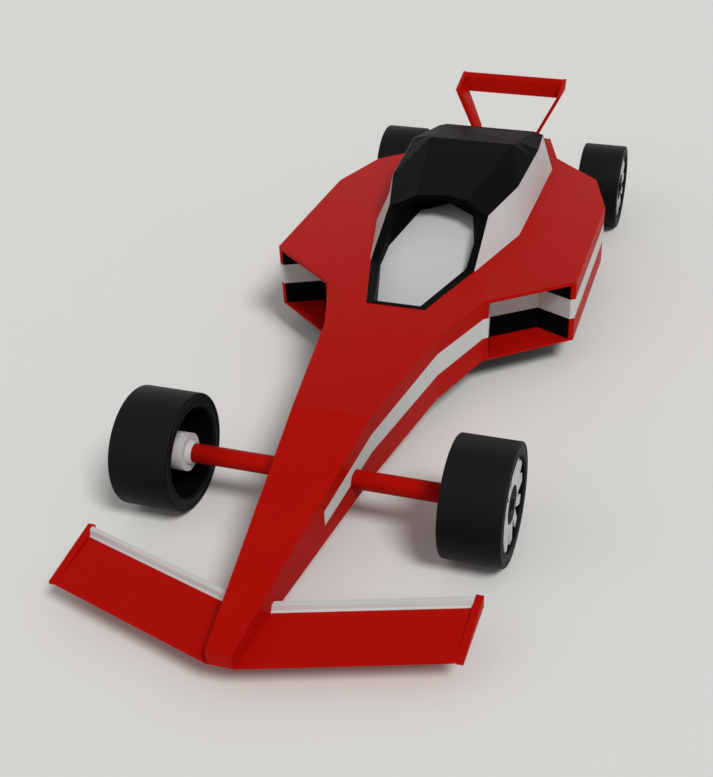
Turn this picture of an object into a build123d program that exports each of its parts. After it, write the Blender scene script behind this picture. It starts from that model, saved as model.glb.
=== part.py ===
"""Open wheel racing car, in millimetres.

+X is the car's left, +Y points to the tail, +Z is up. The origin lies on the ground,
midway between the wheels and midway between the nose's tip and the rear wing's edge.
"""
import os
from math import sqrt
from build123d import *

os.makedirs("parts", exist_ok=True)

# Overall layout
wheelbase = 4140.0
nose_overhang = 1215.0
wing_overhang = 365.0
front_track = 1685.0
rear_track = 1600.0
tyre_radius = 310.0
tyre_width = 315.0
front_axle_y = nose_overhang - (nose_overhang + wheelbase + wing_overhang) / 2
rear_axle_y = front_axle_y + wheelbase
axle_z = tyre_radius

# Heights and skins of the body
floor_z = 181.0
deck_z = 588.0
skin = 14.0
liner_skin = 10.0
tray_thick = 11.0
tray_inset = 22.0

# Distances from the front axle: the nose's joint ahead of it and the body's bend behind it
nose_joint = 420.0
scuttle = 210.0

# Stations are distances ahead of the rear axle, and those behind it are negative
pod_corner = 2655.0
pod_seam = 2540.0
bulkhead = 1540.0
tail_front = 540.0
cover_rear = 480.0
pod_rear = 250.0
tail_waist = 79.0
tail_rear = -160.0

# Central body sections: station, half width, underside height, top height
body_sections = (
    (wheelbase + nose_overhang, 60.0, 172.0, 246.0),
    (wheelbase - scuttle, 209.0, 180.0, 548.0),
    (3129.0, 331.0, floor_z, 583.0),
    (pod_corner, 482.0, floor_z, deck_z),
)
tub_half = 430.0

# Sidepod and tail outlines
pod_half = 966.0
pod_shoulder = 2257.0
pod_taper = 1089.0
pod_hip = 609.0
pod_hip_half = 833.0
pod_rear_half = 475.0
tail_waist_half = 423.0
tail_rear_half = 347.0

# Inlet recess in each sidepod
inlet_lip = 24.0
inlet_floor = 14.0
inlet_back_inner = (2375.0, 450.0)
inlet_back_outer = (2168.0, 720.0)
inlet_wall = 10.0
# The recess's cut runs past the mouth, to this multiple of its depth
mouth_overrun = 1.2

# Cockpit opening: station and half width of its corners
opening_corners = (
    (2811.0, 142.0),
    (2260.0, 280.0),
    (1925.0, 285.0),
    (1700.0, 178.0),
)
opening_rear = 1600.0
shoulder_front = 2080.0
shoulder_top = 766.0
rim_front = 2843.0
rim_front_half = 177.0
rim_corner = 2285.0
rim_corner_half = 334.0
rim_thick = 12.0
rim_proud = 2.0
seat_low = (2811.0, 388.0)
seat_high = (1640.0, 706.0)
seat_thick = 12.0
cockpit_headroom = 1100.0

# Engine cover sections: station, base half width, edge half width and height,
# crease half width and height, depth of the skin under the crease
cover_sections = (
    (1903.0, 434.0, 329.0, 795.0, 165.0, 846.0, 60.0),
    (1691.0, 489.0, 382.0, 818.0, 190.0, 872.0, skin),
    (1490.0, 488.0, 432.0, 840.0, 222.0, 900.0, skin),
    (1049.0, 486.0, 449.0, 880.0, 293.0, 960.0, skin),
    (921.0, 485.0, 454.0, 891.0, 301.0, 936.0, skin),
    (cover_rear, 482.0, 400.0, 838.0, 330.0, 857.0, skin),
)
# Brow: the front edge of the roof, as its corners and the station of its middle
brow_corners = ((cover_sections[0][0], 268.0), (1837.0, 174.0))
brow_rear = 1800.0
# Coaming sections: station, panel's base half width, outer half width and height,
# inner half width and height, thickness
coaming_inner = 240.0
panel_lap = 4.0
coaming_sections = (
    (rim_corner, rim_corner_half + panel_lap, rim_corner_half, deck_z + rim_proud,
     coaming_inner, deck_z + rim_proud, rim_proud),
    (*cover_sections[0][:4], coaming_inner, 785.0, skin),
)
exhaust_radius = 58.0
exhaust_wall = 4.0
exhaust_z = 690.0
exhaust_front = 540.0
exhaust_rear = 380.0

# Engine block
engine_width = 560.0
engine_length = 820.0
engine_height = 360.0
engine_station = 1030.0

# Front wing: main plane, flap and endplates
wing_tip_half = 983.0
wing_sweep = 284.0
wing_chord = 318.0
wing_front_z = 169.0
wing_rear_z = 198.0
wing_nose_drop = 8.0
wing_nose_run = 30.0
wing_rear_thick = 16.0
# Outline of the flap behind the plane's rear edge: run and rise, over the top and back below
flap_outline = (
    (0.0, 0.0),
    (9.0, 8.0),
    (16.0, 33.0),
    (40.0, 35.0),
    (40.0, 27.0),
    (24.0, 25.0),
    (17.0, -2.0),
    (0.0, -wing_rear_thick),
)
endplate_thick = 37.0
endplate_front = 931.0
endplate_rear = 560.0
endplate_low = 156.0
endplate_front_z = 170.0
endplate_rear_z = 223.0

# Rear wing: struts with their endplates, plane and flap, as stations and heights
strut_thick = 28.0
strut_foot_half = 236.0
strut_foot_front = -55.0
strut_foot_rear = -150.0
strut_heel = (-230.0, 629.0)
strut_half = 416.0
strut_bend_z = 933.0
strut_bend_front = -111.0
rear_wing_top = 1007.0
rear_plane_low = (-280.0, 878.0)
rear_plane_top = (-308.0, 981.0)
rear_plane_thick = 24.0
rear_flap_top = (-328.0, 1011.0)
rear_flap_thick = 14.0

# Wheels: tyre, rim and spokes
bead_radius = 240.0
shoulder_radius = 8.0
barrel_wall = 8.0
rim_inset = 10.0
spoke_inset = 15.0
spoke_proud = 17.0
disc_thick = 10.0
spoke_count = 12
spoke_inner = 95.0
spoke_width = 51.0
hub_radius = 97.0
hub_proud = 2.0
hub_depth = 158.0
hub_cap = 40.0

# Axles, steering and hubs
tube_radius = 50.0
drum_radius = 99.0
drum_inset = 21.0
drum_length = 86.0
bearing_radius = 60.0
bearing_length = 20.0
stub_radius = 30.0
stub_end_gap = 2.0
running_gap = 0.1
ball_radius = 70.0
ball_gap = 1.0
pin_offset = 24.0
pin_radius = 12.0
pin_end_gap = 5.0

# A patch is flat where its corners span less than this volume
flat_patch = 1.0

sides = (("left", 1), ("right", -1))
# Axle name, its Y and half its track
axles = (("front", front_axle_y, front_track / 2), ("rear", rear_axle_y, rear_track / 2))


def ahead(station):
    """The Y of a station, which is a distance ahead of the rear axle."""
    return rear_axle_y - station


def across(y):
    """Plane across the car, with X and Z as its local axes."""
    return Plane(origin=(0, y, 0), x_dir=(1, 0, 0), z_dir=(0, -1, 0))


def along(x):
    """Plane along the car, with Y and Z as its local axes."""
    return Plane(origin=(x, 0, 0), x_dir=(0, 1, 0), z_dir=(1, 0, 0))


def hub_plane(x, y, side):
    """Plane at a wheel's centre, with outward and up as its local axes."""
    return Plane(origin=(side * x, y, axle_z), x_dir=(side, 0, 0), z_dir=(0, -side, 0))


def outline(plane, points):
    """Closed straight-sided face on a plane."""
    with BuildSketch(plane) as sketch:
        with BuildLine():
            Polyline(points, close=True)
        make_face()
    return sketch.sketch


def symmetric(station, half):
    """Closed face across the car, from the left half's points as half width and height."""
    return outline(across(ahead(station)), [*half, *((-x, z) for x, z in reversed(half))])


def plan(z, corners, side=1):
    """Closed face on a level plane, from corners given as station and half width."""
    return outline(Plane.XY.offset(z), [(side * half, ahead(s)) for s, half in corners])


def both_halves(corners, rear=()):
    """Corners of the left half, those on the centre line, then the mirrored half."""
    return [*corners, *rear, *((s, -half) for s, half in reversed(corners))]


def between(start, end, share):
    """The point at a share of the way from one point to another, or beyond it."""
    return tuple(a + share * (b - a) for a, b in zip(start, end))


def body_at(station):
    """Station, half width, underside and top of the central body at a station."""
    for front, rear in zip(body_sections, body_sections[1:]):
        if front[0] >= station >= rear[0]:
            return between(front, rear, (station - front[0]) / (rear[0] - front[0]))
    raise ValueError("station outside the central body")


def body_section(station):
    station, half, low, high = body_at(station)
    return symmetric(station, [(half, low), (half, high)])


def section_points(station, points, side=1):
    """Corners of a section across the car, from half widths and heights."""
    return [Vector(side * x, ahead(station), z) for x, z in points]


def patch(a, b, c, d):
    """Faces of a patch with four corners: one if it is flat, or two on its shorter diagonal."""
    if abs((b - a).cross(c - a).dot(d - a)) < flat_patch:
        corners = [(a, b, c, d)]
    elif (c - a).length < (d - b).length:
        corners = [(a, b, c), (a, c, d)]
    else:
        corners = [(a, b, d), (b, c, d)]
    return [Face(Wire.make_polygon(points)) for points in corners]


def faceted(rows):
    """Solid with flat facets between matching sections, closed by the first and the last."""
    faces = [Face(Wire.make_polygon(rows[0])), Face(Wire.make_polygon(rows[-1]))]
    for front, rear in zip(rows, rows[1:]):
        for i in range(len(front)):
            faces += patch(front[i - 1], front[i], rear[i], rear[i - 1])
    return Solid(Shell(faces))


def finish(piece, label):
    piece.label = label
    export_step(piece, f"parts/{label}.step")


# Nose
with BuildPart() as nose:
    add([body_section(wheelbase + nose_overhang), body_section(wheelbase + nose_joint)])
    loft(ruled=True)
finish(nose.part, "nose")

# Cockpit space: the open pocket over the reclined seat, and the same space with its lining
opening = both_halves(opening_corners, [(opening_rear, 0.0)])
seat_rise = (seat_high[1] - seat_low[1]) / (seat_low[0] - seat_high[0])
seat_plane = Plane(
    origin=(0, ahead(seat_low[0]), seat_low[1]), x_dir=(1, 0, 0), z_dir=(0, -seat_rise, 1)
)
shoulder_planes = []
for name, side in sides:
    high, low = [Vector(side * half, ahead(s)) for s, half in opening_corners[2:]]
    front = Vector(side * opening_corners[2][1], ahead(shoulder_front))
    high.Z = shoulder_top
    low.Z, front.Z = [seat_low[1] + seat_rise * (p.Y - ahead(seat_low[0])) for p in (low, front)]
    upward = (low - front).cross(high - front) * -side
    shoulder_planes.append(Plane(origin=front, x_dir=low - front, z_dir=upward))
with BuildPart() as pocket:
    extrude(plan(floor_z, opening), amount=cockpit_headroom - floor_z)
    for plane in (seat_plane, *shoulder_planes):
        split(bisect_by=plane, keep=Keep.TOP)
with BuildPart() as lined_pocket:
    with BuildSketch(Plane.XY.offset(floor_z)):
        add(plan(floor_z, opening))
        offset(amount=liner_skin, kind=Kind.INTERSECTION)
    extrude(amount=cockpit_headroom - floor_z)
    split(bisect_by=seat_plane.offset(-seat_thick), keep=Keep.TOP)
    for plane in shoulder_planes:
        split(bisect_by=plane.offset(-liner_skin), keep=Keep.TOP)

# Tub: the central body from the nose to the bulkhead before the engine
tub_stations = [wheelbase + nose_joint] + [row[0] for row in body_sections[1:]]
tub_corners = ((pod_corner, body_sections[-1][1]), (pod_seam, tub_half), (bulkhead, tub_half))
rim_outline = both_halves(((rim_front, rim_front_half), (rim_corner, rim_corner_half)))
with BuildPart() as tub:
    add([body_section(station) for station in tub_stations])
    loft(ruled=True)
    extrude(plan(floor_z, both_halves(tub_corners)), amount=deck_z - floor_z)
    add(lined_pocket.part, mode=Mode.SUBTRACT)
    extrude(plan(deck_z - rim_thick, rim_outline), amount=2 * rim_thick, mode=Mode.SUBTRACT)
finish(tub.part, "tub")

# Seat panel: the reclined floor of the cockpit
with BuildPart() as seat_panel:
    add(lined_pocket.part)
    split(bisect_by=seat_plane, keep=Keep.BOTTOM)
finish(seat_panel.part, "seat_panel")


# Engine cover: the faceted roof behind the cockpit
def roof_section(station, base, edge, edge_z, crease, crease_z, depth):
    half = [(crease, crease_z - depth), (edge - skin, edge_z - skin)]
    half += [(edge, edge_z), (crease, crease_z)]
    return section_points(station, [*half, *((-x, z) for x, z in reversed(half))])


brow = both_halves([(rim_corner, brow_corners[0][1]), *brow_corners], [(brow_rear, 0.0)])
with BuildPart() as engine_cover:
    add(faceted([roof_section(*row) for row in cover_sections]))
    extrude(plan(deck_z, brow), amount=cockpit_headroom - deck_z, mode=Mode.SUBTRACT)
finish(engine_cover.part, "engine_cover")

# Closing plate behind the engine cover, with the hole that the exhaust passes through
_, base, edge, edge_z, crease, crease_z, _ = cover_sections[-1]
with BuildPart() as cover_plate:
    rear_view = [(base, deck_z), (edge, edge_z), (crease, crease_z)]
    extrude(symmetric(cover_rear - skin, rear_view), amount=skin)
    with BuildSketch(across(ahead(cover_rear - skin))):
        with Locations((0, exhaust_z)):
            Circle(exhaust_radius)
    extrude(amount=skin, mode=Mode.SUBTRACT)
finish(cover_plate.part, "cover_plate")

with BuildPart() as exhaust:
    with BuildSketch(across(ahead(exhaust_rear))):
        with Locations((0, exhaust_z)):
            Circle(exhaust_radius)
            Circle(exhaust_radius - exhaust_wall, mode=Mode.SUBTRACT)
    extrude(amount=exhaust_front - exhaust_rear)
finish(exhaust.part, "exhaust")


# Cover panels: the side walls under the roof, from the coaming's tip to the closing plate
def panel_section(side, station, base, edge, edge_z, thick):
    points = [(base, deck_z), (edge, edge_z), (edge - thick, edge_z - thick), (base - thick, deck_z)]
    return section_points(station, points, side)


panel_rows = [(*coaming_sections[0][:4], rim_proud)]
panel_rows += [(*row[:4], skin) for row in cover_sections]
for name, side in sides:
    with BuildPart() as cover_panel:
        add(faceted([panel_section(side, *row) for row in panel_rows]))
    finish(cover_panel.part, f"cover_panel_{name}")


# Cockpit rim: a frame let into the deck, with a coaming that climbs to the roof on each side
def coaming_section(side, station, base, outer, outer_z, inner, inner_z, thick):
    points = [(outer, outer_z), (inner, inner_z), (inner, inner_z - thick),
              (outer - thick, outer_z - thick)]
    return section_points(station, points, side)


with BuildPart() as cockpit_rim:
    extrude(plan(deck_z - rim_thick, rim_outline), amount=rim_thick + rim_proud)
    for name, side in sides:
        add(faceted([coaming_section(side, *row) for row in coaming_sections]))
    add(pocket.part, mode=Mode.SUBTRACT)
finish(cockpit_rim.part, "cockpit_rim")


# Cockpit liner: the walls from the seat panel up to the rim, the coamings and the roof
with BuildPart() as lining:
    add(lined_pocket.part)
    split(bisect_by=seat_plane, keep=Keep.TOP)
    for space in (pocket, cockpit_rim, engine_cover):
        add(space.part, mode=Mode.SUBTRACT)
with BuildPart() as cockpit_liner:
    add(lining.part.solids().sort_by(Axis.Z)[0])
finish(cockpit_liner.part, "cockpit_liner")

# Sidepods, each with an inlet recess behind its slanted mouth, and the duct that lines it
corner_half = body_sections[-1][1]
mouth_inner = (pod_corner, corner_half)
mouth_outer = (pod_shoulder, pod_half)
lip_share = inlet_lip / sqrt((pod_shoulder - pod_corner) ** 2 + (pod_half - corner_half) ** 2)
recess_inner = between(mouth_inner, mouth_outer, lip_share)
recess_outer = between(mouth_outer, mouth_inner, lip_share)
recess = [recess_inner, recess_outer, inlet_back_outer, inlet_back_inner]
open_recess = [
    between(inlet_back_inner, recess_inner, mouth_overrun),
    between(inlet_back_outer, recess_outer, mouth_overrun),
    inlet_back_outer,
    inlet_back_inner,
]
pod_outline = [
    mouth_inner,
    mouth_outer,
    (pod_taper, pod_half),
    (pod_hip, pod_hip_half),
    (pod_rear, pod_rear_half),
    (pod_rear, tub_half),
    (pod_seam, tub_half),
]
inlet_low = floor_z + inlet_floor
inlet_height = deck_z - inlet_lip - inlet_low
for name, side in sides:
    with BuildPart() as sidepod:
        extrude(plan(floor_z, pod_outline, side), amount=deck_z - floor_z)
        extrude(plan(inlet_low, open_recess, side), amount=inlet_height, mode=Mode.SUBTRACT)
    finish(sidepod.part, f"sidepod_{name}")

    with BuildPart() as inlet_duct:
        extrude(plan(inlet_low, recess, side), amount=inlet_height)
        with BuildSketch(Plane.XY.offset(inlet_low)):
            add(plan(inlet_low, open_recess, side))
            offset(amount=-inlet_wall, kind=Kind.INTERSECTION)
        extrude(amount=inlet_height, mode=Mode.SUBTRACT)
    finish(inlet_duct.part, f"inlet_duct_{name}")

# Tail: the narrow body behind the sidepods, which carries the rear wing
tail_corners = (
    (tail_front, tub_half),
    (pod_rear, tub_half),
    (pod_rear, pod_rear_half),
    (tail_waist, tail_waist_half),
    (tail_rear, tail_rear_half),
)
with BuildPart() as tail:
    extrude(plan(floor_z, both_halves(tail_corners)), amount=deck_z - floor_z)
finish(tail.part, "tail")

# Undertray and the engine block that stands on it
tray_corners = [row[:2] for row in body_sections[2:]]
tray_corners += [*pod_outline[1:5], *tail_corners[3:]]
with BuildPart() as undertray:
    with BuildSketch(Plane.XY.offset(floor_z)):
        add(plan(floor_z, both_halves(tray_corners)))
        offset(amount=-tray_inset, kind=Kind.INTERSECTION)
    extrude(amount=-tray_thick)
finish(undertray.part, "undertray")

with BuildPart() as engine_block:
    with BuildSketch(Plane.XY.offset(floor_z)):
        with Locations((0, ahead(engine_station))):
            Rectangle(engine_width, engine_length)
    extrude(amount=engine_height)
finish(engine_block.part, "engine_block")


# Front wing: swept main plane, upturned flap and a low endplate fin on each side
wing_root = body_sections[0][1]


def wing_front(x):
    """Station of the wing's front edge at a distance from the centre line."""
    swept = wing_sweep * (x - wing_root) / (wing_tip_half - wing_root)
    return wheelbase + nose_overhang - swept


def plane_section(side, x):
    front = wing_front(x)
    rear = front - wing_chord
    points = [(front, wing_front_z), (rear, wing_rear_z), (rear, wing_rear_z - wing_rear_thick),
              (front - wing_nose_run, wing_front_z - wing_nose_drop)]
    return outline(along(side * x), [(ahead(s), z) for s, z in points])


def flap_section(side, x):
    front = ahead(wing_front(x) - wing_chord)
    points = [(front + run, wing_rear_z + rise) for run, rise in flap_outline]
    return outline(along(side * x), points)


endplate_inner = wing_tip_half - endplate_thick
for name, side in sides:
    for piece, section in (("front_wing", plane_section), ("front_flap", flap_section)):
        with BuildPart() as blade:
            add([section(side, wing_root), section(side, endplate_inner)])
            loft(ruled=True)
            add(nose.part, mode=Mode.SUBTRACT)
        finish(blade.part, f"{piece}_{name}")

    with BuildPart() as endplate:
        front, rear = wheelbase + endplate_front, wheelbase + endplate_rear
        fin = [(front, endplate_low), (front, endplate_front_z),
               (rear, endplate_rear_z), (rear, endplate_low)]
        fin_face = outline(along(side * endplate_inner), [(ahead(s), z) for s, z in fin])
        extrude(fin_face, amount=side * endplate_thick)
    finish(endplate.part, f"front_endplate_{name}")

# Rear wing: leaning struts whose tops turn upright as endplates, a steep plane and its flap
strut_side = [(strut_foot_front, deck_z), (strut_foot_rear, deck_z), strut_heel,
              (-wing_overhang, rear_wing_top), (strut_bend_front, strut_bend_z)]
strut_outer = [(strut_foot_half, deck_z), (strut_half, strut_bend_z), (strut_half, rear_wing_top)]
strut_inner = [(x - strut_thick, z) for x, z in strut_outer]
for name, side in sides:
    with BuildPart() as support:
        extrude(outline(along(0), [(ahead(s), z) for s, z in strut_side]), amount=side * wing_tip_half)
        front_view = [(side * x, z) for x, z in strut_outer + strut_inner[::-1]]
        extrude(outline(across(ahead(tail_waist)), front_view), amount=-wheelbase, mode=Mode.INTERSECT)
    finish(support.part, f"rear_wing_support_{name}")


def thick_behind(low, top, thick):
    """Side outline of a blade whose front face runs from a low point to a top point."""
    return [low, top, (top[0] - thick, top[1]), (low[0] - thick, low[1])]


rear_blades = (
    ("rear_wing_plane", thick_behind(rear_plane_low, rear_plane_top, rear_plane_thick)),
    ("rear_wing_flap", thick_behind(rear_plane_top, rear_flap_top, rear_flap_thick)),
)
for label, blade_side in rear_blades:
    with BuildPart() as rear_blade:
        blade_face = outline(along(0), [(ahead(s), z) for s, z in blade_side])
        extrude(blade_face, amount=wing_tip_half, both=True)
        room = [*strut_inner[:2], (strut_half - strut_thick, cockpit_headroom)]
        extrude(symmetric(tail_waist, room), amount=-wheelbase, mode=Mode.INTERSECT)
    finish(rear_blade.part, label)

# Axle tubes, from the body's side out to the ball in front and to the carrier behind
tyre_inner = tyre_width / 2
drum_inner = tyre_inner - drum_inset
ball_inner = drum_inner - pin_offset + sqrt(ball_radius**2 - tube_radius**2)
for name, side in sides:
    for axle, axle_y, half_track in axles:
        reach = half_track - (ball_inner if axle == "front" else drum_inner)
        with BuildPart() as tube:
            with BuildSketch(Plane(origin=(0, axle_y, axle_z), x_dir=(0, 1, 0), z_dir=(side, 0, 0))):
                Circle(tube_radius)
            extrude(amount=reach)
            add(tub.part if axle == "front" else tail.part, mode=Mode.SUBTRACT)
        finish(tube.part, f"{axle}_axle_{name}")

# Hubs: a drum with its bearing nose and stub, which turns on a kingpin in front
spoke_face = tyre_inner - spoke_inset
disc_face = spoke_face - spoke_proud
hub_face = spoke_face + hub_proud
bore_end = hub_face - hub_cap
drum_outer = drum_length - drum_inner
bearing_end = drum_outer + bearing_length
stub_end = bore_end - stub_end_gap
pin_x = pin_offset - drum_inner
drum_profile = [
    (-drum_inner, 0),
    (-drum_inner, drum_radius),
    (drum_outer, drum_radius),
    (drum_outer, bearing_radius),
    (bearing_end, bearing_radius),
    (bearing_end, stub_radius),
    (stub_end, stub_radius),
    (stub_end, 0),
]
for name, side in sides:
    for axle, axle_y, half_track in axles:
        steered = axle == "front"
        with BuildPart() as hub:
            add(outline(hub_plane(half_track, axle_y, side), drum_profile))
            revolve(axis=Axis((0, axle_y, axle_z), (1, 0, 0)))
            if steered:
                with Locations((side * (half_track + pin_x), axle_y, axle_z)):
                    Sphere(ball_radius + ball_gap, mode=Mode.SUBTRACT)
                    Cylinder(pin_radius + running_gap, 3 * drum_radius, mode=Mode.SUBTRACT)
        finish(hub.part, f"knuckle_{name}" if steered else f"rear_carrier_{name}")

    _, axle_y, half_track = axles[0]
    pin_centre = (side * (half_track + pin_x), axle_y, axle_z)
    with BuildPart() as kingpin:
        with Locations(pin_centre):
            Sphere(ball_radius)
        flat = Plane(origin=(side * (half_track - ball_inner), axle_y, axle_z), z_dir=(side, 0, 0))
        split(bisect_by=flat, keep=Keep.TOP)
        with Locations(pin_centre):
            Cylinder(pin_radius, 2 * (drum_radius - pin_end_gap))
    finish(kingpin.part, f"kingpin_{name}")

# Wheels: rims with spokes raised from a closed disc, and tyres
barrel_half = tyre_inner - rim_inset
barrel_inner = bead_radius - barrel_wall
hub_inner = hub_face - hub_depth
rim_profile = [
    (hub_inner, stub_radius + running_gap),
    (hub_inner, hub_radius),
    (disc_face - disc_thick, hub_radius),
    (disc_face - disc_thick, barrel_inner),
    (-barrel_half, barrel_inner),
    (-barrel_half, bead_radius),
    (barrel_half, bead_radius),
    (barrel_half, barrel_inner),
    (disc_face, barrel_inner),
    (disc_face, hub_radius),
    (hub_face, hub_radius),
    (hub_face, 0),
    (bore_end, 0),
    (bore_end, stub_radius + running_gap),
]
spoke_points = [
    (spoke_inner, -spoke_width / 2),
    (barrel_inner, -spoke_width / 2),
    (barrel_inner, spoke_width / 2),
    (spoke_inner, spoke_width / 2),
]
for axle, axle_y, half_track in axles:
    for name, side in sides:
        spin = Axis((0, axle_y, axle_z), (1, 0, 0))
        face_x = side * (half_track + disc_face)
        with BuildPart() as rim:
            revolve(outline(hub_plane(half_track, axle_y, side), rim_profile), axis=spin)
            face = Plane(origin=(face_x, axle_y, axle_z), x_dir=(0, side, 0), z_dir=(side, 0, 0))
            with BuildSketch(face):
                with PolarLocations(0, spoke_count):
                    Polygon(*spoke_points, align=None)
            extrude(amount=spoke_proud)
        finish(rim.part, f"rim_{axle}_{name}")

        with BuildPart() as tyre:
            with BuildSketch(hub_plane(half_track, axle_y, side)) as tread:
                with Locations((0, (bead_radius + tyre_radius) / 2)):
                    Rectangle(tyre_width, tyre_radius - bead_radius)
                fillet(tread.vertices().sort_by(Axis.Y)[-2:], shoulder_radius)
            revolve(axis=spin)
        finish(tyre.part, f"tyre_{axle}_{name}")
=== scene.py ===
"""Looks of the open wheel racing car, laid out as an add-on and run as a script."""
import math

import bmesh
import bpy
from bpy.props import FloatProperty, FloatVectorProperty, PointerProperty
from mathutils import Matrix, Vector


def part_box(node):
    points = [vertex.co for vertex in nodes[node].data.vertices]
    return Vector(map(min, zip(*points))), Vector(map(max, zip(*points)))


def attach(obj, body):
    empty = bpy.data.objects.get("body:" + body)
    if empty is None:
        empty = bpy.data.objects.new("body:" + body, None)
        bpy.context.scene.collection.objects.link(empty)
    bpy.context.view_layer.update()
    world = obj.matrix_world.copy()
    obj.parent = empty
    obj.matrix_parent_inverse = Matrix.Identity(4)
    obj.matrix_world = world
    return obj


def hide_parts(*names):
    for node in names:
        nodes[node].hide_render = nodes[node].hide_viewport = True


bl_info = {
    "name": "Open Wheel Racing Car",
    "version": (1, 0, 0),
    "blender": (4, 5, 0),
    "location": "3D View > Sidebar > Racing Car",
    "description": "Paints and details a wedge-nosed open wheel racing car on its packed frame",
    "category": "Object",
}

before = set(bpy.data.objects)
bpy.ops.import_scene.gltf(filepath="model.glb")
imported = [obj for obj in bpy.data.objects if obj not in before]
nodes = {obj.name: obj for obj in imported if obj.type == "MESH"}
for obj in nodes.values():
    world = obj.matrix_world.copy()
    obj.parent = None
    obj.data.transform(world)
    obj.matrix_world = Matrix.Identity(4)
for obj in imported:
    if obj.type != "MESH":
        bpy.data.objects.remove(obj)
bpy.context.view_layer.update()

MM = 0.001
SIDES = (("left", 1), ("right", -1))
AXLES = ("front", "rear")

# Stripe along the sides: distance behind the front axle, lower edge and upper edge, in mm
STRIPE = ((-337, 271, 352), (210, 336, 441), (1011, 337, 473), (1485, 337, 468))
# Slanted mouth of each inlet: distance behind the front axle and half width of its ends, in mm
MOUTH = ((1485, 482), (1883, 966))
# How far behind the mouth's plane the duct takes the red of the pod, in mm
MOUTH_EDGE = 3

# Least turn, in degrees, of the edges that are rounded on each kind of piece. PLAIN rounds none
PLAIN = 0.0
FLAT = 3.0
FACETED = 25.0
ROUND = 40.0
# Greatest turn, in degrees, across which a bent cover panel is shaded as one sheet
BENT_PANEL = 30.0
# Distance within which the corners of a CAD node's triangles are joined, in mm
WELD = 0.02

# Satin enamel's roughness and specular level, which is low so that the pale studio leaves no veil
SATIN = 0.42
SHEEN = 0.03
BLACK_SHEEN = 0.01
# Strength of all bumps, and how many clouds of shade and gloss there are in a metre
BUMPS = 0.35
CLOUDS = 3.0

# The wheel's solids, in mm: radii, and distances outward from the middle of the tyre
BEAD = 240.0
BARREL = 232.0
HUB_RADIUS = 97.0
HALF_TYRE = 157.5
DISC_FACE = 125.5
HUB_FACE = 144.5
# Distance past the disc's face, the hub and the barrel at which the spokes' white starts, in mm
MARGIN = 0.5

# Radius of the modelled tread, in mm. It lies 0.1 mm inside the solid's, to stay within its box
TREAD = 309.9
# Foot of the sidewall: distance in from the tyre's side and height above the bead, in mm
FOOT = ((12.0, 0.0), (5.0, 1.5))
# Start of the sidewall and of its inner ring above the bead, and of its outer ring below the
# shoulder, in mm
WALL_START = 7.0
INNER_RING = 12.0
OUTER_RING = 9.0
# Moulded ring: height along the sidewall in mm, and share of the ring's full height
RING = ((0.0, 0), (1.0, 1), (3.0, 1), (4.0, 0))
SHOULDER_STEPS = 6
TYRE_STEPS = 144

# Centre nut with its washer: distance beyond the hub's face and radius in mm, and sides (0 is round)
NUT = (
    (-1.0, 40.3, 0), (2.0, 40.3, 0), (3.0, 38.44, 0),
    (3.0, 31.0, 6), (9.0, 31.0, 6), (12.0, 27.28, 6),
)
NUT_STEPS = 48

# Camera: degrees from the nose towards the car's left and above the ground, place in metres,
# focal length in mm on a sensor 36 mm wide, and shift as a share of the frame
AZIMUTH = 14.98
ELEVATION = 32.78
CAMERA_PLACE = (1.7990, -5.8449, 3.6591)
SENSOR = 36.0
FOCAL_LENGTH = 51.99
SHIFT = (-0.1203, 0.0145)
# Side of the square floor, and how far the camera sees, in metres
FLOOR_SIZE = 400
SIGHT = 200


def linear(hex_code):
    """Linear colour of an sRGB hex code."""
    channels = [int(hex_code[i:i + 2], 16) / 255 for i in (1, 3, 5)]
    return [c / 12.92 if c <= 0.04045 else ((c + 0.055) / 1.055) ** 2.4 for c in channels] + [1.0]


def colour(name, text, hex_code):
    """Property that holds a colour."""
    return FloatVectorProperty(
        name=name, description=text, subtype="COLOR", size=4, min=0, max=1, default=linear(hex_code)
    )


def length(name, text, millimetres):
    """Property that holds a length."""
    return FloatProperty(
        name=name, description=text, default=millimetres * MM, subtype="DISTANCE", unit="LENGTH"
    )


class PaintSettings(bpy.types.PropertyGroup):
    red: colour("Red", "Red enamel of the body", "#AC0E05")
    white: colour("White", "White enamel of the stripe and panels", "#C6C6C4")
    black: colour("Black", "Black enamel of the cover", "#0A0A0B")
    # Orange peel is 2 to 4 mm wide on a real car, and is drawn coarser so that it shows
    peel: length("Orange peel", "Size of the ripple in the sprayed enamel", 9)
    edge: length("Edge radius", "Rounding of the panels' edges", 1.5)


class WheelSettings(bpy.types.PropertyGroup):
    rubber: colour("Rubber", "Black tyre rubber", "#111113")
    # Moulded rubber has a grain of under 1 mm, which is drawn coarser so that it shows
    grain: length("Rubber grain", "Grain of the moulded rubber", 4)
    shoulder: length("Tyre shoulder", "Rounding between the tread and the sidewall", 9)
    rib: length("Sidewall rib", "Height of the moulded rings on the sidewall", 1.2)


class StageSettings(bpy.types.PropertyGroup):
    floor: colour("Floor", "Pale studio floor", "#E4E3DF")
    key: FloatProperty(
        name="Key light", description="Strength of the broad key light", default=2.0, min=0
    )
    fill: FloatProperty(
        name="Fill light", description="Strength of the broad fill light", default=0.35, min=0
    )
    world: FloatProperty(
        name="World light", description="Strength of the world's even light", default=0.3, min=0
    )


def node(tree, kind, inputs=None, **settings):
    """Adds a node. Each of its inputs takes a value, a socket, or a node for that node's first output."""
    new = tree.nodes.new(kind)
    for key, value in settings.items():
        setattr(new, key, value)
    for socket, value in (inputs or {}).items():
        if isinstance(value, bpy.types.Node):
            value = value.outputs[0]
        if isinstance(value, bpy.types.NodeSocket):
            tree.links.new(value, new.inputs[socket])
        else:
            new.inputs[socket].default_value = value
    return new


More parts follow.
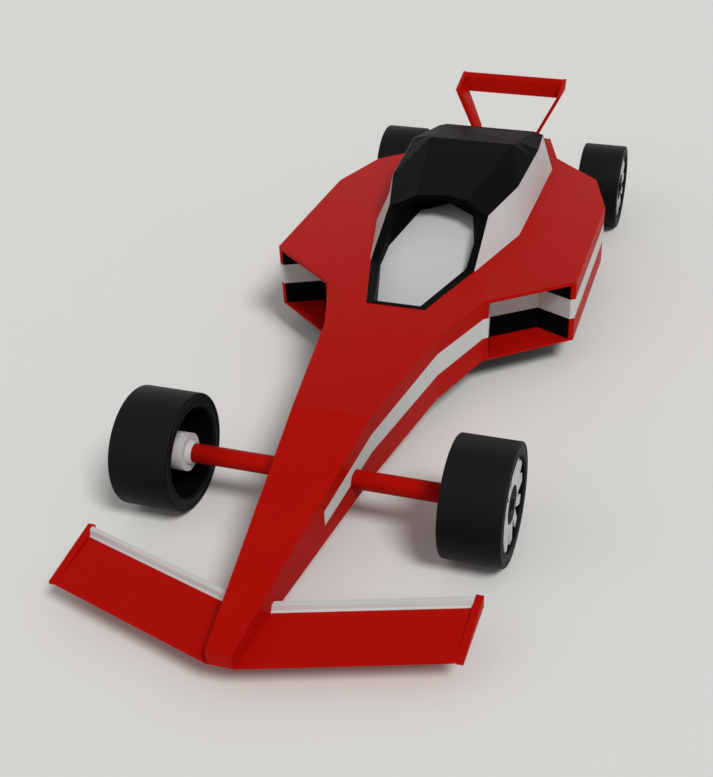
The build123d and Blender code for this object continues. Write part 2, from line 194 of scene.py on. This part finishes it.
def surface(name, base, *, roughness, drift, grain, relief, metallic=0.0, specular=0.5):
    """A material with bumps a grain wide, whose roughness drifts in clouds. Returns the clouds too."""
    made = bpy.data.materials.new(name)
    made.use_nodes = True
    tree = made.node_tree
    shader = tree.nodes["Principled BSDF"]
    shader.inputs["Base Color"].default_value = base
    shader.inputs["Roughness"].default_value = roughness
    shader.inputs["Metallic"].default_value = metallic
    shader.inputs["Specular IOR Level"].default_value = specular
    # Object coordinates are the frame's metres at rest, and ride with the piece
    place = node(tree, "ShaderNodeTexCoord").outputs["Object"]
    waves = node(tree, "ShaderNodeTexNoise", {"Vector": place, "Scale": 1 / grain, "Detail": 2.0})
    bumps = node(tree, "ShaderNodeBump", {"Height": waves, "Strength": BUMPS, "Distance": relief})
    tree.links.new(bumps.outputs["Normal"], shader.inputs["Normal"])
    clouds = node(tree, "ShaderNodeTexNoise", {"Vector": place, "Scale": CLOUDS, "Detail": 4.0})
    limits = {"To Min": roughness - drift, "To Max": roughness + drift}
    gloss = node(tree, "ShaderNodeMapRange", {"Value": clouds, **limits})
    tree.links.new(gloss.outputs["Result"], shader.inputs["Roughness"])
    return made, clouds


def lay(made, first, second, share):
    """Mixes a material's base colour from two colours. With no first one, it keeps the one it has."""
    tree = made.node_tree
    base = tree.nodes["Principled BSDF"].inputs["Base Color"]
    if first is None:
        first = base.links[0].from_socket if base.is_linked else base.default_value[:]
    mix = node(tree, "ShaderNodeMix", {0: share, 6: first, 7: second}, data_type="RGBA")
    tree.links.new(mix.outputs[2], base)


def mottle(made, base, clouds, *, dark, light):
    """Lets a material's base colour drift with the clouds between two shares of itself."""
    darkest, lightest = ([channel * share for channel in base[:3]] + [1.0] for share in (dark, light))
    lay(made, darkest, lightest, clouds)


def wheel_centre(axle, side):
    """Middle of one wheel, in metres."""
    low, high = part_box(f"tyre_{axle}_{side}")
    return [(a + b) / 2 for a, b in zip(low, high)]


# Place of the front axle along the car, in metres
front_axle_y = wheel_centre("front", "left")[1]


def stripe_edge(tree, along, column):
    """Height of one edge of the stripe at each place along the car."""
    start, end = STRIPE[0][0], STRIPE[-1][0]
    limits = {"From Min": front_axle_y + start * MM, "From Max": front_axle_y + end * MM}
    share = node(tree, "ShaderNodeMapRange", {"Value": along, **limits})
    curve = node(tree, "ShaderNodeFloatCurve", {"Value": share})
    points = curve.mapping.curves[0].points
    for row in STRIPE[1:-1]:
        points.new((row[0] - start) / (end - start), 0)
    for point, row in zip(points, STRIPE):
        point.location = ((row[0] - start) / (end - start), row[column] * MM)
        point.handle_type = "VECTOR"
    curve.mapping.update()
    return curve


def stripe_mask(tree):
    """1 inside the stripe and 0 outside it."""
    place = node(tree, "ShaderNodeTexCoord").outputs["Object"]
    parts = node(tree, "ShaderNodeSeparateXYZ", {"Vector": place})
    along, up = parts.outputs["Y"], parts.outputs["Z"]
    lower, upper = stripe_edge(tree, along, 1), stripe_edge(tree, along, 2)
    start = front_axle_y + STRIPE[0][0] * MM
    above = node(tree, "ShaderNodeMath", {0: up, 1: lower}, operation="GREATER_THAN")
    below = node(tree, "ShaderNodeMath", {0: up, 1: upper}, operation="LESS_THAN")
    behind = node(tree, "ShaderNodeMath", {0: along, 1: start}, operation="GREATER_THAN")
    within = node(tree, "ShaderNodeMath", {0: above, 1: below}, operation="MULTIPLY")
    return node(tree, "ShaderNodeMath", {0: within, 1: behind}, operation="MULTIPLY")


def mouth_mask(tree):
    """1 on the duct's front edge, which lies in the plane of the inlet's mouth, and 0 behind it."""
    (inner_y, inner_x), (outer_y, outer_x) = MOUTH
    width = math.hypot(outer_y - inner_y, outer_x - inner_x)
    outward, backward = (inner_y - outer_y) / width, (outer_x - inner_x) / width
    start = outward * inner_x * MM + backward * (front_axle_y + inner_y * MM)
    place = node(tree, "ShaderNodeTexCoord").outputs["Object"]
    parts = node(tree, "ShaderNodeSeparateXYZ", {"Vector": place})
    side = node(tree, "ShaderNodeMath", {0: parts.outputs["X"]}, operation="ABSOLUTE")
    out = node(tree, "ShaderNodeMath", {0: side, 1: outward, 2: -start}, operation="MULTIPLY_ADD")
    back = {0: parts.outputs["Y"], 1: backward, 2: out}
    depth = node(tree, "ShaderNodeMath", back, operation="MULTIPLY_ADD")
    return node(tree, "ShaderNodeMath", {0: depth, 1: MOUTH_EDGE * MM}, operation="LESS_THAN")


def enamel(name, base, specular=SHEEN, edge=None, stripe=None):
    """Sprayed two-pack enamel, rubbed to a satin: deep colour, faint broad highlights, a ripple.

    It may have the inlet's edge and the stripe in colours of their own. Pieces of one finish share it.
    """
    if name in bpy.data.materials:
        return bpy.data.materials[name]
    peel = bpy.context.scene.car_paint.peel
    made, clouds = surface(
        name, base, roughness=SATIN, drift=0.05, grain=peel, relief=0.4 * MM, specular=specular
    )
    mottle(made, base, clouds, dark=0.93, light=1.04)
    if edge is not None:
        lay(made, None, edge, mouth_mask(made.node_tree))
    if stripe is not None:
        lay(made, None, stripe, stripe_mask(made.node_tree))
    return made


def wheel_enamel(axle, side, sign):
    """Sprayed wheel enamel, satin black, with white on the raised spokes so that they stand out."""
    paint = bpy.context.scene.car_paint
    made, _ = surface(
        f"wheel_enamel_{axle}_{side}", paint.black,
        roughness=SATIN, drift=0.05, grain=paint.peel, relief=0.3 * MM, specular=BLACK_SHEEN,
    )
    tree = made.node_tree
    place = node(tree, "ShaderNodeTexCoord").outputs["Object"]
    centre = wheel_centre(axle, side)
    offset = node(tree, "ShaderNodeVectorMath", {0: place, 1: centre}, operation="SUBTRACT")
    across = node(tree, "ShaderNodeVectorMath", {0: offset, 1: (0, 1, 1)}, operation="MULTIPLY")
    radius = node(tree, "ShaderNodeVectorMath", {0: across}, operation="LENGTH").outputs["Value"]
    out = node(tree, "ShaderNodeVectorMath", {0: offset, 1: (sign, 0, 0)}, operation="DOT_PRODUCT")
    face = {0: out.outputs["Value"], 1: (DISC_FACE + MARGIN) * MM}
    raised = node(tree, "ShaderNodeMath", face, operation="GREATER_THAN")
    middle, reach = (BARREL + HUB_RADIUS) / 2, (BARREL - HUB_RADIUS) / 2 - MARGIN
    band = {0: radius, 1: middle * MM, 2: reach * MM}
    between = node(tree, "ShaderNodeMath", band, operation="COMPARE")
    spokes = node(tree, "ShaderNodeMath", {0: raised, 1: between}, operation="MULTIPLY")
    lay(made, None, paint.white, spokes)
    return made


def turned_steel():
    """Turned steel, lightly oiled: grey, with a fine drift of sheen. Its marks are drawn coarse."""
    made, _ = surface(
        "turned_steel", linear("#8E8C88"),
        roughness=0.32, drift=0.08, grain=4 * MM, relief=0.1 * MM, metallic=1.0,
    )
    return made


def cast_aluminium():
    """Cast aluminium, bead blasted: pale, with a dull grain, drawn coarser than the real one."""
    made, _ = surface(
        "cast_aluminium", linear("#8B8D90"),
        roughness=0.55, drift=0.08, grain=6 * MM, relief=0.6 * MM, metallic=1.0,
    )
    return made


def moulded_rubber(wheel):
    """Vulcanised rubber, moulded and scrubbed by the road: black with a broad dull sheen."""
    made, clouds = surface(
        "moulded_rubber", wheel.rubber,
        roughness=0.5, drift=0.07, grain=wheel.grain, relief=0.6 * MM, specular=0.06,
    )
    mottle(made, wheel.rubber, clouds, dark=0.8, light=1.25)
    return made


def anodised_aluminium():
    """Forged aluminium, black anodised: a hard, slightly glossy dark grey. Its grain is drawn coarse."""
    made, _ = surface(
        "black_anodised_aluminium", linear("#141415"),
        roughness=0.35, drift=0.05, grain=3 * MM, relief=0.1 * MM, specular=0.12,
    )
    return made


def floor_paint(base):
    """Rolled floor paint: pale and matt, with the faint stipple of the roller, drawn coarse."""
    made, clouds = surface(
        "painted_studio_floor", base,
        roughness=0.85, drift=0.04, grain=30 * MM, relief=0.2 * MM, specular=0.2,
    )
    mottle(made, base, clouds, dark=0.985, light=1.0)
    return made


def dress(name, made, crease=FLAT):
    """Puts a material on a CAD node and rounds its edges that turn by more than the crease."""
    piece = nodes[name]
    for slot in piece.material_slots:
        slot.link = "OBJECT"
        slot.material = made
    weld = piece.modifiers.new("weld", "WELD")
    weld.merge_threshold = WELD * MM
    if crease:
        edge = piece.modifiers.new("edge", "BEVEL")
        edge.width = bpy.context.scene.car_paint.edge
        edge.segments = 2
        edge.limit_method = "ANGLE"
        edge.angle_limit = math.radians(crease)
        edge.harden_normals = True


def soften(name, turn):
    """Shades a CAD node as one bent sheet, except across edges that turn by more than the angle."""
    tree = bpy.data.node_groups.new("soften", "GeometryNodeTree")
    for flow in ("INPUT", "OUTPUT"):
        tree.interface.new_socket("Mesh", in_out=flow, socket_type="NodeSocketGeometry")
    start = node(tree, "NodeGroupInput").outputs["Mesh"]
    bend = node(tree, "GeometryNodeInputMeshEdgeAngle").outputs["Unsigned Angle"]
    sharp = node(tree, "FunctionNodeCompare", {"A": bend, "B": math.radians(turn)})
    inputs = {"Mesh": start, "Edge Sharpness": sharp, "Remove Custom": True}
    shaded = node(tree, "GeometryNodeSetMeshNormal", inputs)
    node(tree, "NodeGroupOutput", {"Mesh": shaded})
    nodes[name].modifiers.new("soften", "NODES").node_group = tree


class CAR_OT_body(bpy.types.Operator):
    """Paints the nose, the tub, the pods, the tail and the undertray"""

    bl_idname = "car.body"
    bl_label = "Paint body"

    def execute(self, context):
        paint = context.scene.car_paint
        striped = enamel("red_enamel_with_stripe", paint.red, stripe=paint.white)
        for name in ("nose", "tub", "sidepod_left", "sidepod_right"):
            dress(name, striped)
        dress("tail", enamel("red_enamel", paint.red))
        dress("undertray", enamel("black_enamel", paint.black, BLACK_SHEEN), FACETED)
        return {"FINISHED"}


class CAR_OT_inlets(bpy.types.Operator):
    """Paints the ducts in the pods' inlets"""

    bl_idname = "car.inlets"
    bl_label = "Paint inlets"

    def execute(self, context):
        paint = context.scene.car_paint
        duct = enamel("duct_enamel", paint.black, BLACK_SHEEN, edge=paint.red, stripe=paint.white)
        for side, _ in SIDES:
            dress(f"inlet_duct_{side}", duct)
        return {"FINISHED"}


class CAR_OT_cockpit(bpy.types.Operator):
    """Paints the cockpit's rim, its lining and the seat panel"""

    bl_idname = "car.cockpit"
    bl_label = "Paint cockpit"

    def execute(self, context):
        paint = context.scene.car_paint
        for name in ("cockpit_rim", "cockpit_liner"):
            dress(name, enamel("black_enamel", paint.black, BLACK_SHEEN), FACETED)
        dress("seat_panel", enamel("white_enamel", paint.white))
        return {"FINISHED"}


class CAR_OT_cover(bpy.types.Operator):
    """Paints the faceted engine cover, its closing plate and the panels beside it"""

    bl_idname = "car.cover"
    bl_label = "Paint engine cover"

    def execute(self, context):
        paint = context.scene.car_paint
        for name in ("engine_cover", "cover_plate"):
            dress(name, enamel("black_enamel", paint.black, BLACK_SHEEN), FACETED)
        for side, _ in SIDES:
            dress(f"cover_panel_{side}", enamel("white_enamel", paint.white), PLAIN)
            soften(f"cover_panel_{side}", BENT_PANEL)
        return {"FINISHED"}


class CAR_OT_wings(bpy.types.Operator):
    """Paints the front and rear wings with their flaps, endplates and supports"""

    bl_idname = "car.wings"
    bl_label = "Paint wings"

    def execute(self, context):
        paint = context.scene.car_paint
        red = enamel("red_enamel", paint.red)
        for name in ("rear_wing_plane", "rear_wing_flap"):
            dress(name, red)
        for side, _ in SIDES:
            for name in ("front_wing", "front_endplate", "rear_wing_support"):
                dress(f"{name}_{side}", red)
            dress(f"front_flap_{side}", enamel("white_enamel", paint.white))
        return {"FINISHED"}


class CAR_OT_axles(bpy.types.Operator):
    """Paints the axle tubes, and the drums and kingpins at their ends"""

    bl_idname = "car.axles"
    bl_label = "Paint axles"

    def execute(self, context):
        paint = context.scene.car_paint
        for side, _ in SIDES:
            for name in ("front_axle", "rear_axle"):
                dress(f"{name}_{side}", enamel("red_enamel", paint.red), ROUND)
            for name in ("knuckle", "rear_carrier", "kingpin"):
                dress(f"{name}_{side}", enamel("white_enamel", paint.white), ROUND)
        return {"FINISHED"}


class CAR_OT_engine(bpy.types.Operator):
    """Gives the exhaust and the engine their metals"""

    bl_idname = "car.engine"
    bl_label = "Finish engine"

    def execute(self, context):
        dress("exhaust", turned_steel(), PLAIN)
        dress("engine_block", cast_aluminium())
        return {"FINISHED"}


def tyre_section(wheel):
    """Closed section of the tyre, from bead to bead, in rows of outward distance, radius and sides."""
    corner, rib = wheel.shoulder / MM, wheel.rib / MM
    side = HALF_TYRE - rib
    half = [(HALF_TYRE - inward, BEAD + rise) for inward, rise in FOOT]
    half.append((side, BEAD + WALL_START))
    for ring in (BEAD + INNER_RING, TREAD - corner - OUTER_RING):
        half += [(side + share * rib, ring + rise) for rise, share in RING]
    for step in range(SHOULDER_STEPS + 1):
        turn = math.pi / 2 * step / SHOULDER_STEPS
        half.append((side - corner * (1 - math.cos(turn)), TREAD - corner * (1 - math.sin(turn))))
    whole = half + [(-out, radius) for out, radius in reversed(half)]
    return [(out, radius, 0) for out, radius in whole]


def outline_reach(radius, sides, turn):
    """Distance from the axis to a circle, or to a polygon inside it, at one turn round the axis."""
    if not sides:
        return radius
    half = math.pi / sides
    return radius * math.cos(half) / math.cos(turn % (2 * half) - half)


def turned_piece(name, centre, sign, section, *, steps, capped):
    """Mesh turned about a wheel's axis from a section in mm, which is closed unless it is capped."""
    made = bmesh.new()
    rings = []
    for out, radius, sides in section:
        ring = []
        for step in range(steps):
            turn = 2 * math.pi * step / steps
            reach = outline_reach(radius, sides, turn) * MM
            across, up = reach * math.cos(turn), reach * math.sin(turn)
            ring.append(made.verts.new((centre[0] + sign * out * MM, centre[1] + across, centre[2] + up)))
        rings.append(ring)
    following = rings[1:] if capped else rings[1:] + rings[:1]
    for first, second in zip(rings, following):
        for i in range(steps):
            made.faces.new((first[i - 1], first[i], second[i], second[i - 1]))
    if capped:
        made.faces.new(rings[0])
        made.faces.new(rings[-1])
    bmesh.ops.recalc_face_normals(made, faces=made.faces)
    mesh = bpy.data.meshes.new(name)
    made.to_mesh(mesh)
    made.free()
    piece = bpy.data.objects.new(name, mesh)
    bpy.context.collection.objects.link(piece)
    return piece


def finish_piece(piece, made, body):
    """Gives a new piece its material and the body it rides on."""
    piece.data.materials.append(made)
    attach(piece, body)


class CAR_OT_wheels(bpy.types.Operator):
    """Finishes the tyres, the spoked wheels and their centre nuts"""

    bl_idname = "car.wheels"
    bl_label = "Finish wheels"

    def execute(self, context):
        wheel = context.scene.car_wheel
        rubber, anodised = moulded_rubber(wheel), anodised_aluminium()
        nut_section = [(HUB_FACE + out, radius, sides) for out, radius, sides in NUT]
        for axle in AXLES:
            for side, sign in SIDES:
                place = f"{axle}_{side}"
                centre = wheel_centre(axle, side)
                dress(f"tyre_{place}", rubber, PLAIN)
                dress(f"rim_{place}", wheel_enamel(axle, side, sign), ROUND)
                tyre = turned_piece(
                    f"tyre_skin_{place}", centre, sign, tyre_section(wheel), steps=TYRE_STEPS, capped=False
                )
                tyre.data.shade_smooth()
                finish_piece(tyre, rubber, f"wheel_{place}")
                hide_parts(f"tyre_{place}")
                nut = turned_piece(
                    f"wheel_nut_{place}", centre, sign, nut_section, steps=NUT_STEPS, capped=True
                )
                finish_piece(nut, anodised, f"wheel_{place}")
        return {"FINISHED"}


class CAR_OT_stage(bpy.types.Operator):
    """Adds the floor, the lamps, the world's light and the camera"""

    bl_idname = "car.stage"
    bl_label = "Build stage"

    def add_floor(self, context):
        bpy.ops.mesh.primitive_plane_add(size=FLOOR_SIZE)
        floor = context.object
        floor.name = "studio_floor"
        floor.data.materials.append(floor_paint(context.scene.car_stage.floor))

    def add_lamps(self, context):
        settings = context.scene.car_stage
        # Name, direction it comes from, apparent width in degrees and strength
        lamps = (
            ("key", (8.0, -6.5, 13.0), 18.0, settings.key),
            ("fill", (-10.0, -9.0, 9.0), 60.0, settings.fill),
        )
        for name, place, width, strength in lamps:
            lamp = bpy.data.lights.new(name, "SUN")
            lamp.energy = strength
            lamp.angle = math.radians(width)
            holder = bpy.data.objects.new(name, lamp)
            holder.location = place
            holder.rotation_euler = (-Vector(place)).to_track_quat("-Z", "Y").to_euler()
            context.collection.objects.link(holder)

    def light_world(self, context):
        even = context.scene.car_stage.world
        world = context.scene.world or bpy.data.worlds.new("studio")
        context.scene.world = world
        world.use_nodes = True
        tree = world.node_tree
        tree.nodes.clear()
        # White where it is seen, mirrored or seen through, and weaker as a light on the car
        rays = node(tree, "ShaderNodeLightPath").outputs
        pair = {0: rays["Is Camera Ray"], 1: rays["Is Glossy Ray"]}
        seen = node(tree, "ShaderNodeMath", pair, operation="MAXIMUM")
        pair = {0: seen, 1: rays["Is Transmission Ray"]}
        seen = node(tree, "ShaderNodeMath", pair, operation="MAXIMUM")
        level = {0: seen, 1: 1.0 - even, 2: even}
        strength = node(tree, "ShaderNodeMath", level, operation="MULTIPLY_ADD")
        sky = node(tree, "ShaderNodeBackground", {"Color": (1, 1, 1, 1), "Strength": strength})
        node(tree, "ShaderNodeOutputWorld", {"Surface": sky})

    def add_camera(self, context):
        azimuth, elevation = math.radians(AZIMUTH), math.radians(ELEVATION)
        back = Vector((
            math.sin(azimuth) * math.cos(elevation),
            -math.cos(azimuth) * math.cos(elevation),
            math.sin(elevation),
        ))
        lens = bpy.data.cameras.new("photo_camera")
        lens.sensor_width = SENSOR
        lens.lens = FOCAL_LENGTH
        lens.shift_x, lens.shift_y = SHIFT
        lens.clip_end = SIGHT
        camera = bpy.data.objects.new("photo_camera", lens)
        camera.location = CAMERA_PLACE
        camera.rotation_euler = (-back).to_track_quat("-Z", "Y").to_euler()
        context.collection.objects.link(camera)
        context.scene.camera = camera

    def execute(self, context):
        self.add_floor(context)
        self.add_lamps(context)
        self.light_world(context)
        self.add_camera(context)
        context.scene.view_settings.view_transform = "Standard"
        return {"FINISHED"}


class CAR_PT_panel(bpy.types.Panel):
    """Lists the operators and their settings in the sidebar"""

    bl_idname = "CAR_PT_panel"
    bl_label = "Racing Car"
    bl_space_type = "VIEW_3D"
    bl_region_type = "UI"
    bl_category = "Racing Car"

    def draw(self, context):
        for operator in OPERATORS:
            self.layout.operator(operator.bl_idname)
        for name, group in SETTINGS:
            box = self.layout.box()
            for key in group.__annotations__:
                box.prop(getattr(context.scene, name), key)


SETTINGS = (("car_paint", PaintSettings), ("car_wheel", WheelSettings), ("car_stage", StageSettings))
OPERATORS = (
    CAR_OT_body, CAR_OT_inlets, CAR_OT_cockpit, CAR_OT_cover, CAR_OT_wings,
    CAR_OT_axles, CAR_OT_engine, CAR_OT_wheels, CAR_OT_stage,
)
CLASSES = tuple(group for _, group in SETTINGS) + OPERATORS + (CAR_PT_panel,)


def register():
    for made in CLASSES:
        bpy.utils.register_class(made)
    for name, group in SETTINGS:
        setattr(bpy.types.Scene, name, PointerProperty(type=group))


def unregister():
    for name, _ in SETTINGS:
        delattr(bpy.types.Scene, name)
    for made in reversed(CLASSES):
        bpy.utils.unregister_class(made)


def main():
    register()
    bpy.ops.car.body()
    bpy.ops.car.inlets()
    bpy.ops.car.cockpit()
    bpy.ops.car.cover()
    bpy.ops.car.wings()
    bpy.ops.car.axles()
    bpy.ops.car.engine()
    bpy.ops.car.wheels()
    bpy.ops.car.stage()


if __name__ == "__main__":
    main()
